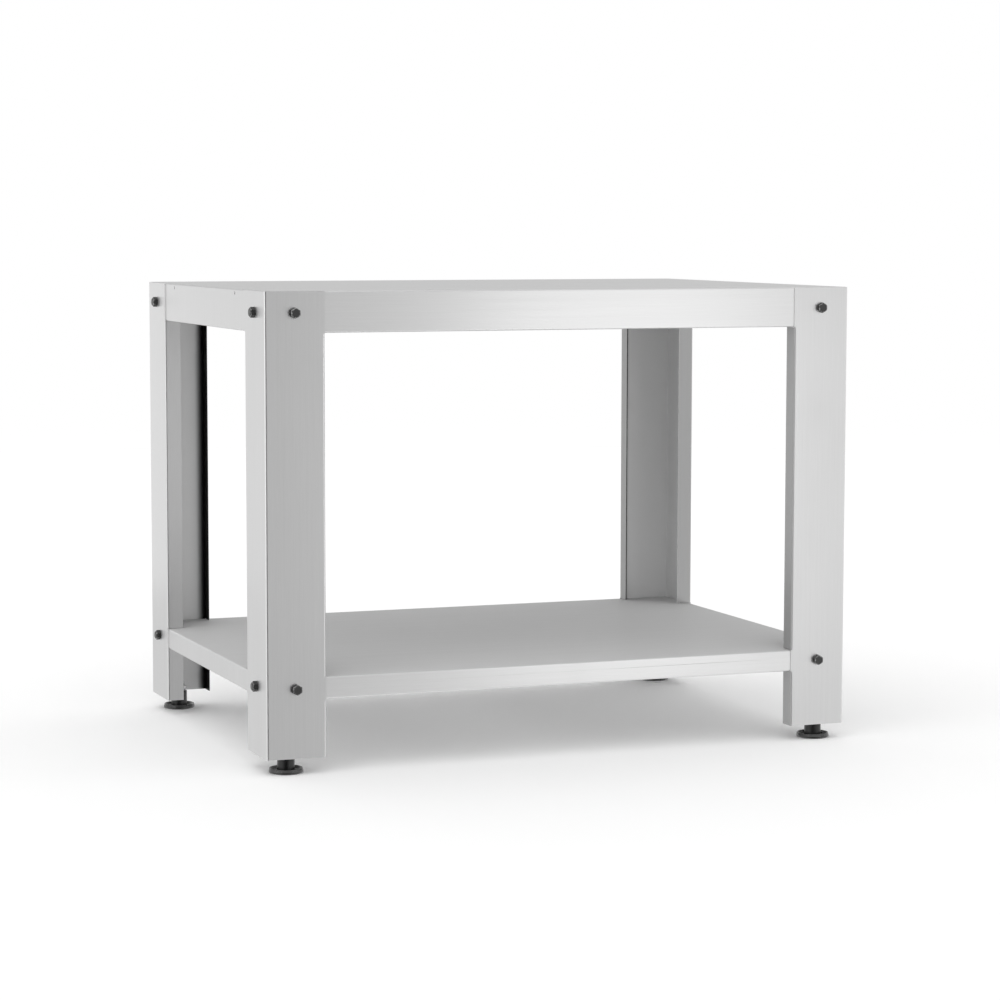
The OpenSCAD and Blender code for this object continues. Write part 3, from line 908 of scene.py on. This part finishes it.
class TableLooks(bpy.types.PropertyGroup):
    """Colours and finishes."""

    sheet_colour: colour_of("Sheet colour", "Reflected colour of the brushed sheet", (0.76, 0.76, 0.76))
    sheet_roughness: share_of("Sheet roughness", "Roughness of the brushed sheet", 0.36)
    sheet_stretch: share_of("Sheet stretch", "How far brushing stretches a highlight", 0.5)
    sheet_grazing: share_of("Sheet grazing", "Reflection of the sheet near a grazing view", 0.62)
    # Painted shade: the worktop's upper face is darkened by its tone
    worktop_painted_shade: share_of("Worktop tone", "Brightness of the worktop's upper face", 0.8)
    worktop_metal: share_of("Worktop metal", "How metallic the worktop's upper face looks", 0.5)
    worktop_gloss: share_of("Worktop gloss", "Reflection of the worktop's upper face", 0.5)
    # Painted shade: the shelf's upper face is darkened by its tone
    shelf_painted_shade: share_of("Shelf tone", "Brightness of the shelf's upper face", 0.8)
    shelf_metal: share_of("Shelf metal", "How metallic the shelf's upper face looks", 0.1)
    shelf_gloss: share_of("Shelf gloss", "Reflection of the shelf's upper face", 0.0)
    # Painted shade: the lips are darkened by these three tone values
    end_lip_painted_shade: share_of("End lip tone", "Brightness of the outer faces of the end walls' lips", 0.5)
    end_lip_metal: share_of("End lip metal", "How metallic those lips' outer faces look", 0.4)
    left_lip_painted_shade: share_of("Left lip tone", "Brightness of the left side walls' lips", 0.9)
    right_lip_painted_shade: share_of("Right lip tone", "Brightness of the right side walls' lips", 0.6)
    # Painted shade: the lips' inner faces are painted near black by this tone
    lip_inner_painted_shade: share_of("Hollow tone", "Brightness of the inner faces of the lips", 0.04)
    hollow_colour: colour_of("Hollow colour", "Colour of the dull inside of a leg", (0.8, 0.8, 0.8))
    hollow_metal: share_of("Hollow metal", "How metallic the dull inside of a leg looks", 0.25)
    cut_colour: colour_of("Cut colour", "Colour of the walls' cut edges beside a tray", (0.9, 0.9, 0.9))
    cut_metal: share_of("Cut metal", "How metallic the cut edges look", 0.2)
    line_length: length_of("Line length", "Length of a brushed line", 0.06, 0.001)
    line_width: length_of("Line width", "Width of a brushed line", 0.0003, 0.00005)
    line_contrast: share_of("Line contrast", "Contrast of the brushed lines", 0.35)
    streak_width: length_of("Streak width", "Width of a broad streak", 0.006, 0.001)
    streak_contrast: share_of("Streak contrast", "Contrast of the broad streaks", 0.2)
    inner_colour: colour_of("Inner sheet colour", "Colour of channels and foot plates", (0.5, 0.5, 0.5))
    inner_roughness: share_of("Inner sheet roughness", "Roughness of channels and foot plates", 0.3)
    bolt_colour: colour_of("Bolt colour", "Colour of the black coated bolts", (0.028, 0.028, 0.028))
    # The bolts' edges are lightened by rubbing and by a painted highlight
    worn_and_highlight_colour: colour_of("Worn colour", "Colour of the bolts' rubbed edges", (0.35, 0.35, 0.35))
    bolt_roughness: share_of("Bolt roughness", "Roughness of the bolts' coat", 0.4)
    bolt_rubbing_and_highlight: share_of("Bolt wear", "How far the bolts' edges are rubbed", 0.6)
    zinc_colour: colour_of("Zinc colour", "Colour of the plated nuts and studs", (0.6, 0.62, 0.65))
    zinc_roughness: share_of("Zinc roughness", "Roughness of the plated nuts and studs", 0.3)
    foot_colour: colour_of("Foot colour", "Colour of the moulded feet", (0.01, 0.01, 0.01))
    # Painted highlight: the colour of the feet's rims
    rim_highlight_colour: colour_of("Rim colour", "Colour of the feet's rubbed rims", (0.055, 0.055, 0.055))
    foot_roughness: share_of("Foot roughness", "Roughness of the moulded feet", 0.36)
    foot_sheen: share_of("Foot sheen", "Strength of the moulded feet's reflection", 0.5)


class TableHardware(bpy.types.PropertyGroup):
    """Sizes of fasteners, feet and welds that the solids leave plain."""

    bolt_drop: length_of("Bolt drop", "Distance from the worktop to the upper bolts", 0.039)
    walls: length_of("Walls", "Thickness of a leg and an apron together", 0.0035)
    bolt_thread: length_of("Bolt thread", "Pitch of the bolts' thread", 0.0015, 0.0005)
    bolt_length: length_of("Bolt length", "Length of a bolt below its head", 0.02)
    bolt_head: length_of("Bolt head", "Height of a bolt's head", 0.01)
    nut_height: length_of("Nut height", "Height of a flange nut", 0.01)
    stud_thread: length_of("Stud thread", "Pitch of the studs' thread", 0.00175, 0.0005)
    weld_spacing: length_of("Weld spacing", "Distance between two spot welds", 0.06, 0.01)
    weld_size: length_of("Weld size", "Diameter of a spot weld", 0.006, 0.002)
    bead_width: length_of("Bead width", "Width of a weld bead", 0.0032, 0.001)


class TableStudio(bpy.types.PropertyGroup):
    """Camera, lamps and floor."""

    camera_place: bpy.props.FloatVectorProperty(
        name="Camera place", description="Place of the camera", default=(-2.0346, -5.3976, 0.9956),
        size=3, subtype="TRANSLATION", unit="LENGTH"
    )
    camera_yaw: bpy.props.FloatProperty(
        name="Camera yaw", description="Turn of the view from +Y towards +X",
        default=math.radians(20.907), unit="ROTATION"
    )
    camera_pitch: bpy.props.FloatProperty(
        name="Camera pitch", description="Tilt of the view below the horizon",
        default=math.radians(5.466), unit="ROTATION"
    )
    camera_roll: bpy.props.FloatProperty(
        name="Camera roll", description="Turn of the picture about the view",
        default=math.radians(0.084), unit="ROTATION"
    )
    camera_lens: bpy.props.FloatProperty(
        name="Lens", description="Focal length for a picture 36 mm wide", default=105.318,
        min=1.0, unit="CAMERA"
    )
    world_light: share_of("World light", "Even light from the room", 0.9, 2.0)
    sun_light: share_of("Overhead light", "Strength of the soft overhead light", 0.6, 10.0)
    left_light: share_of("Left light", "Power of the soft box at the rear left", 1.0, 200.0)
    right_light: share_of("Right light", "Power of the soft box near the right leg", 1.0, 200.0)
    front_light: share_of("Front light", "Power of the soft box at the front right", 0.5, 200.0)
    side_light: share_of("Side light", "Power of the soft box on the left", 5.0, 200.0)
    ceiling_tone: share_of("Ceiling tone", "Brightness of the ceiling that metal shows", 0.88)
    dark_tone: share_of("Dark tone", "Brightness of the dark end that metal shows", 0.0)
    dark_turn: bpy.props.FloatProperty(
        name="Dark turn", description="Direction of the room's dark end, from +Y towards +X",
        default=math.radians(-165), unit="ROTATION"
    )
    dark_width: bpy.props.FloatProperty(
        name="Dark width", description="Angle that the room's dark end takes up",
        default=math.radians(52), unit="ROTATION"
    )
    floor_colour: colour_of("Floor colour", "Colour of the floor", (0.8, 0.8, 0.8))
    floor_clear: length_of("Floor radius", "Distance at which the floor starts to fade", 3.5)


# Pieces


def finish_of(name, build, *given):
    """The material of that name, built once."""
    found = bpy.data.materials.get(name)
    return found or build(name, bpy.context.scene.oven_table_looks, *given)


def dress(node, material):
    """Gives a piece from the frame its material."""
    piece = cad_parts[node]
    for place in range(len(piece.material_slots)):
        piece.material_slots[place].link = "OBJECT"
        piece.material_slots[place].material = material


def shape_tree(name, build, *given):
    """The node tree of that name, built once."""
    found = bpy.data.node_groups.get(name)
    return found or build(*given)


def shared_trees():
    turned = shape_tree("Turned piece", turned_tree)
    hexagon = shape_tree("Turned hexagon", hexagon_tree)
    thread = shape_tree("Screw thread", thread_tree)
    return turned, hexagon, thread


def facing(out, along):
    """The turn that points Z outwards and X along the given direction."""
    out, along = Vector(out), Vector(along)
    return Matrix((along, out.cross(along), out)).transposed().to_euler()


def grow(name, tree, places, values, finish, edges=()):
    """Runs a tree on points, each with its turn, and keeps the result as a plain mesh."""
    wire = bpy.data.meshes.new(name + "_places")
    wire.from_pydata([place for place, _ in places], edges, [])
    turns = wire.attributes.new("turn", "FLOAT_VECTOR", "POINT")
    turns.data.foreach_set("vector", [angle for _, turn in places for angle in turn])
    piece = bpy.data.objects.new(name, wire)
    bpy.context.scene.collection.objects.link(piece)
    shape = piece.modifiers.new("Shape", "NODES")
    shape.node_group = tree
    values = dict(values, Finish=finish)
    for item in tree.interface.items_tree:
        if item.item_type == "SOCKET" and item.in_out == "INPUT" and item.name in values:
            shape[item.identifier] = values[item.name]
    seen = piece.evaluated_get(bpy.context.evaluated_depsgraph_get())
    mesh = bpy.data.meshes.new_from_object(seen)
    if not mesh.polygons:
        raise RuntimeError(f"{name} came out empty")
    piece.modifiers.clear()
    piece.data = mesh
    bpy.data.meshes.remove(wire)
    mesh.name = name
    mesh.shade_smooth()
    mesh.set_sharp_from_angle(angle=SHARP_ANGLE)
    return piece


def leg_sides(corner):
    """A leg's outer X and Y, the middle of its walls, and its side and end as signs."""
    low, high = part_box("leg_" + corner)
    side, end = CORNERS[corner]
    outer = Vector((high.x if side > 0 else low.x, high.y if end > 0 else low.y, 0.0))
    return outer, (low + high) / 2, side, end


def bolt_places(corner, inward):
    """The four bolt places of one leg, on its outer face or inside both walls."""
    outer, middle, side, end = leg_sides(corner)
    hardware = bpy.context.scene.oven_table_hardware
    shelf = sum(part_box("shelf_panel"), Vector()) / 2
    deep = hardware.walls if inward else 0.0
    way = -1 if inward else 1
    places = []
    for height in (TABLE_HIGH.z - hardware.bolt_drop, shelf.z):
        face = (middle.x, outer.y - end * deep, height)
        places.append((face, facing((0, end * way, 0), (0, 0, 1))))
        flank = (outer.x - side * deep, middle.y, height)
        places.append((flank, facing((side * way, 0, 0), (0, 0, 1))))
    return places


def underside(low, high):
    """The middle of a box's underside, as a place with no turn."""
    middle = (low + high) / 2
    return (middle.x, middle.y, low.z), NO_TURN


class OVENTABLE_OT_trays(bpy.types.Operator):
    """Finish the folded worktop and the folded shelf"""

    bl_idname = "oven_table.trays"
    bl_label = "Worktop and shelf"

    def execute(self, context):
        shape_tree("Brushed grain", grain_group)
        shape_tree("Wiped patches", smudge_group)
        looks = context.scene.oven_table_looks
        upper = (looks.worktop_painted_shade, looks.worktop_metal, looks.worktop_gloss)
        dress("top_panel", finish_of("Brushed worktop sheet", brushed_sheet, upper))
        upper = (looks.shelf_painted_shade, looks.shelf_metal, looks.shelf_gloss)
        dress("shelf_panel", finish_of("Brushed shelf sheet", brushed_sheet, upper))
        return {"FINISHED"}


class OVENTABLE_OT_legs(bpy.types.Operator):
    """Finish the four folded legs"""

    bl_idname = "oven_table.legs"
    bl_label = "Legs"

    def execute(self, context):
        sheet = finish_of("Brushed leg sheet", brushed_sheet)
        for corner in CORNERS:
            dress("leg_" + corner, sheet)
        return {"FINISHED"}


class OVENTABLE_OT_channels(bpy.types.Operator):
    """Finish the stiffening channels and the foot plates"""

    bl_idname = "oven_table.channels"
    bl_label = "Channels and foot plates"

    def execute(self, context):
        shape_tree("Grit and mottling", grit_group)
        sheet = finish_of("Rolled inner sheet", rolled_sheet)
        for level in ("top", "shelf"):
            for side in ("left", "right"):
                dress(f"{level}_channel_{side}", sheet)
        for corner in CORNERS:
            dress("foot_plate_" + corner, sheet)
        return {"FINISHED"}


class OVENTABLE_OT_bolts(bpy.types.Operator):
    """Make the black hexagon bolts with their threads"""

    bl_idname = "oven_table.bolts"
    bl_label = "Bolts"

    def execute(self, context):
        hardware = context.scene.oven_table_hardware
        shape_tree("Rubbed edges", edge_rubbing_and_highlight_group)
        coat = finish_of("Black coated steel", black_coat)
        tree = shape_tree("Hexagon bolt", bolt_tree, *shared_trees()[1:])
        sizes = {
            "Height": hardware.bolt_head,
            "Thread pitch": hardware.bolt_thread,
            "Thread length": hardware.bolt_length,
        }
        for corner in CORNERS:
            name = "Hexagon_bolts_" + corner
            piece = grow(name, tree, bolt_places(corner, False), sizes, coat)
            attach(piece, "table")
            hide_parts("bolts_" + corner)
        return {"FINISHED"}


class OVENTABLE_OT_nuts(bpy.types.Operator):
    """Make the flange nuts and finish the nuts of the feet"""

    bl_idname = "oven_table.nuts"
    bl_label = "Nuts"

    def execute(self, context):
        hardware = context.scene.oven_table_hardware
        plate = finish_of("Zinc plated steel", zinc_plate)
        tree = shape_tree("Flange nut", nut_tree, *shared_trees()[:2])
        for corner in CORNERS:
            name = "Flange_nuts_" + corner
            sizes = {"Height": hardware.nut_height}
            piece = grow(name, tree, bolt_places(corner, True), sizes, plate)
            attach(piece, "table")
            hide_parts("nuts_" + corner)
            dress("weld_nut_" + corner, plate)
            dress("lock_nut_" + corner, plate)
        return {"FINISHED"}


class OVENTABLE_OT_studs(bpy.types.Operator):
    """Make the threaded studs of the feet, with a collar below and a hexagon socket above"""

    bl_idname = "oven_table.studs"
    bl_label = "Levelling studs"

    def execute(self, context):
        plate = finish_of("Zinc plated steel", zinc_plate)
        turned, _, thread = shared_trees()
        socket = shape_tree("Hexagon socket", socket_tree)
        tree = shape_tree("Levelling stud", stud_tree, turned, thread, socket)
        for corner in CORNERS:
            low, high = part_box("stud_" + corner)
            sizes = {
                "Length": high.z - low.z,
                "Thread pitch": context.scene.oven_table_hardware.stud_thread,
            }
            piece = grow("Levelling_stud_" + corner, tree, [underside(low, high)], sizes, plate)
            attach(piece, "stud_" + corner)
            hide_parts("stud_" + corner)
        return {"FINISHED"}


class OVENTABLE_OT_feet(bpy.types.Operator):
    """Make the moulded feet, each a dished disc with a tall hub"""

    bl_idname = "oven_table.feet"
    bl_label = "Feet"

    def execute(self, context):
        plastic = finish_of("Black moulded plastic", moulded_black)
        turned = shape_tree("Turned piece", turned_tree)
        tree = shape_tree("Moulded foot", foot_tree, turned)
        for corner in CORNERS:
            low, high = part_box("foot_pad_" + corner)
            sizes = {"Disc diameter": high.x - low.x, "Hub height": high.z - low.z}
            piece = grow("Moulded_foot_" + corner, tree, [underside(low, high)], sizes, plastic)
            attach(piece, "foot_" + corner)
            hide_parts("foot_pad_" + corner)
        return {"FINISHED"}


class OVENTABLE_OT_spot_welds(bpy.types.Operator):
    """Make the spot welds that hold the channels under the worktop and the shelf"""

    bl_idname = "oven_table.spot_welds"
    bl_label = "Spot welds"

    def execute(self, context):
        hardware = context.scene.oven_table_hardware
        weld = finish_of("Weld metal", weld_metal)
        tree = shape_tree("Spot welds", spot_weld_tree, shape_tree("Turned piece", turned_tree))
        for level in ("top", "shelf"):
            places = []
            for side in ("left", "right"):
                low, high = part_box(f"{level}_channel_{side}")
                for x in (low.x + FLANGE_INSET, high.x - FLANGE_INSET):
                    place = (x, (low.y + high.y) / 2, high.z - FLANGE_SHEET)
                    places.append((place, facing((0, 0, -1), (0, 1, 0))))
            sizes = {
                "Run": high.y - low.y - WELD_MARGIN,
                "Spacing": hardware.weld_spacing,
                "Diameter": hardware.weld_size,
            }
            piece = grow(f"Spot_welds_{level}", tree, places, sizes, weld)
            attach(piece, "table")
        return {"FINISHED"}


class OVENTABLE_OT_weld_beads(bpy.types.Operator):
    """Make the weld beads that join each foot plate to the two walls of its leg"""

    bl_idname = "oven_table.weld_beads"
    bl_label = "Weld beads"

    def execute(self, context):
        weld = finish_of("Weld metal", weld_metal)
        tree = shape_tree("Weld bead", bead_tree)
        points = []
        for corner, (side, end) in CORNERS.items():
            low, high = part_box("foot_plate_" + corner)
            x = high.x - BEAD_SINK if side > 0 else low.x + BEAD_SINK
            y = high.y - BEAD_SINK if end > 0 else low.y + BEAD_SINK
            z = high.z + BEAD_LIFT
            x_run = [x - side * BEAD_MARGIN, x - side * (high.x - low.x - BEAD_MARGIN)]
            y_run = [y - end * BEAD_MARGIN, y - end * (high.y - low.y - BEAD_MARGIN)]
            points += [(x_run[0], y, z), (x_run[1], y, z), (x, y_run[0], z), (x, y_run[1], z)]
        edges = [(start, start + 1) for start in range(0, len(points), 2)]
        places = [(point, NO_TURN) for point in points]
        sizes = {"Width": context.scene.oven_table_hardware.bead_width}
        piece = grow("Foot_plate_welds", tree, places, sizes, weld, edges)
        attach(piece, "table")
        return {"FINISHED"}


# Studio


def floor_finish(name, studio):
    """A pale floor that keeps shadows, fades to the white room and is clear from below.

    Metal and glass show the white room in its place.
    """
    material = bpy.data.materials.new(name)
    material.use_nodes = True
    n = Nodes(material.node_tree)
    material.node_tree.nodes.clear()
    rays = n.add("ShaderNodeLightPath")
    seen = Field(n, rays.outputs["Is Camera Ray"])
    colour = n.mix(seen, shade(studio.floor_colour, 1.0), WHITE)
    cover = n.make("ShaderNodeBsdfDiffuse", {"Color": colour})
    clear = n.make("ShaderNodeBsdfTransparent", {})
    place = n.make("ShaderNodeTexCoord", {}, out="Object")
    away = n.make("ShaderNodeVectorMath", {0: place}, out="Value", operation="LENGTH")
    fade = away.ramp(studio.floor_clear, studio.floor_clear * FADE_END)
    below = n.make("ShaderNodeNewGeometry", {}, out="Backfacing")
    hidden = fade.math("MAXIMUM", below)
    for label in ("Is Glossy Ray", "Is Transmission Ray"):
        hidden = hidden.math("MAXIMUM", Field(n, rays.outputs[label]))
    mixed = n.make("ShaderNodeMixShader", {0: hidden, 1: cover, 2: clear})
    end = n.add("ShaderNodeOutputMaterial")
    n.join(mixed, end.inputs[0])
    n.arrange()
    return material


def light_world(studio):
    """An even room, white to the eye, which metal shows with a grey ceiling and a dark end."""
    world = bpy.data.worlds.new("Room")
    world.use_nodes = True
    n = Nodes(world.node_tree)
    world.node_tree.nodes.clear()
    way = n.make("ShaderNodeTexCoord", {}, out="Generated")
    turn = studio.dark_turn
    along = way.part(0) * math.sin(turn) + way.part(1) * math.cos(turn)
    across = (way.part(0) * math.cos(turn) - way.part(1) * math.sin(turn)).math("ABSOLUTE")
    away = across.math("ARCTAN2", along)
    half = studio.dark_width * 0.5
    lit = away.ramp(half, half + DARK_BORDER)
    above = way.part(2).ramp(0.0, CEILING_BORDER)
    shown = (1 - (1 - lit) * (1.0 - studio.dark_tone)) * (1 - above * (1.0 - studio.ceiling_tone))
    rays = n.add("ShaderNodeLightPath")
    mirrored = Field(n, rays.outputs["Is Glossy Ray"])
    mirrored = mirrored.math("MAXIMUM", Field(n, rays.outputs["Is Transmission Ray"]))
    seen = Field(n, rays.outputs["Is Camera Ray"])
    strength = mirrored * (shown - studio.world_light) + studio.world_light
    strength = seen * (1 - strength) + strength
    given = {"Color": WHITE, "Strength": strength}
    mixed = n.make("ShaderNodeBackground", given)
    end = n.add("ShaderNodeOutputWorld")
    n.join(mixed, end.inputs[0])
    n.arrange()
    world.cycles.sampling_method = "NONE"
    bpy.context.scene.world = world


def hang_lamp(name, kind, place, target, energy, **settings):
    """Hangs a lamp that points at the target and isn't seen by the camera, and gives it."""
    lamp = bpy.data.lights.new(name, kind)
    lamp.energy = energy
    for label, value in settings.items():
        setattr(lamp, label, value)
    holder = bpy.data.objects.new(name, lamp)
    bpy.context.scene.collection.objects.link(holder)
    way = Vector(target) - Vector(place)
    holder.matrix_world = Matrix.Translation(place) @ way.to_track_quat("-Z", "Y").to_matrix().to_4x4()
    holder.visible_camera = False
    return holder


class OVENTABLE_OT_studio(bpy.types.Operator):
    """Set up the floor, the lamps, the room and the camera"""

    bl_idname = "oven_table.studio"
    bl_label = "Studio"

    def execute(self, context):
        studio = context.scene.oven_table_studio
        mesh = bpy.data.meshes.new("Floor")
        reach = studio.floor_clear * FLOOR_END
        spots = [(-reach, -reach, 0.0), (reach, -reach, 0.0), (reach, reach, 0.0), (-reach, reach, 0.0)]
        mesh.from_pydata(spots, [], [(0, 1, 2, 3)])
        floor = bpy.data.objects.new("Floor", mesh)
        context.scene.collection.objects.link(floor)
        mesh.materials.append(floor_finish("Pale floor", studio))
        light_world(studio)
        middle = (TABLE_LOW + TABLE_HIGH) / 2
        soft = math.radians(70)
        hang_lamp("Overhead", "SUN", (-2.0, -2.5, 4.5), middle, studio.sun_light, angle=soft)
        boxes = (
            ("Left box", (-0.85, 1.9, 0.5), (-0.6, 0.0, 0.5), studio.left_light, 0.5, 0.9),
            ("Right box", (0.5, -1.35, 0.46), (0.5, 0.0, 0.46), studio.right_light, 0.65, 0.9),
            ("Front box", (3.2, -4.0, 1.0), middle, studio.front_light, 3.0, 2.0),
            ("Side box", (-3.2, -0.7, 0.8), middle, studio.side_light, 1.5, 1.5),
        )
        for name, place, target, energy, width, height in boxes:
            shape = {"shape": "RECTANGLE", "size": width, "size_y": height}
            lamp = hang_lamp(name, "AREA", place, target, energy, **shape)
            lamp.visible_diffuse = False
        self.set_camera(context.scene, studio)
        context.scene.view_settings.view_transform = "Standard"
        return {"FINISHED"}

    def set_camera(self, scene, studio):
        lens = bpy.data.cameras.new("Camera")
        lens.sensor_fit = "HORIZONTAL"
        lens.sensor_width = FILM_WIDTH
        lens.lens = studio.camera_lens
        lens.clip_end = 200.0
        camera = bpy.data.objects.new("Camera", lens)
        scene.collection.objects.link(camera)
        turn = Matrix.Rotation(-studio.camera_yaw, 4, "Z")
        turn = turn @ Matrix.Rotation(math.pi / 2 - studio.camera_pitch, 4, "X")
        turn = turn @ Matrix.Rotation(studio.camera_roll, 4, "Z")
        camera.matrix_world = Matrix.Translation(studio.camera_place) @ turn
        scene.camera = camera


# Add-on

STEPS = (
    OVENTABLE_OT_trays,
    OVENTABLE_OT_legs,
    OVENTABLE_OT_channels,
    OVENTABLE_OT_bolts,
    OVENTABLE_OT_nuts,
    OVENTABLE_OT_studs,
    OVENTABLE_OT_feet,
    OVENTABLE_OT_spot_welds,
    OVENTABLE_OT_weld_beads,
    OVENTABLE_OT_studio,
)


class OVENTABLE_PT_steps(bpy.types.Panel):
    """The table's pieces, in the order they are made"""

    bl_label = "Oven table"
    bl_space_type = "VIEW_3D"
    bl_region_type = "UI"
    bl_category = "Oven table"

    def draw(self, context):
        for step in STEPS:
            self.layout.operator(step.bl_idname)


GROUPS = {
    "oven_table_looks": TableLooks,
    "oven_table_hardware": TableHardware,
    "oven_table_studio": TableStudio,
}
CLASSES = tuple(GROUPS.values()) + STEPS + (OVENTABLE_PT_steps,)


def register():
    for entry in CLASSES:
        bpy.utils.register_class(entry)
    for name, group in GROUPS.items():
        setattr(bpy.types.Scene, name, bpy.props.PointerProperty(type=group))


def unregister():
    for name in GROUPS:
        delattr(bpy.types.Scene, name)
    for entry in reversed(CLASSES):
        bpy.utils.unregister_class(entry)


def main():
    register()
    for step in STEPS:
        family, name = step.bl_idname.split(".")
        getattr(getattr(bpy.ops, family), name)()


if __name__ == "__main__":
    main()
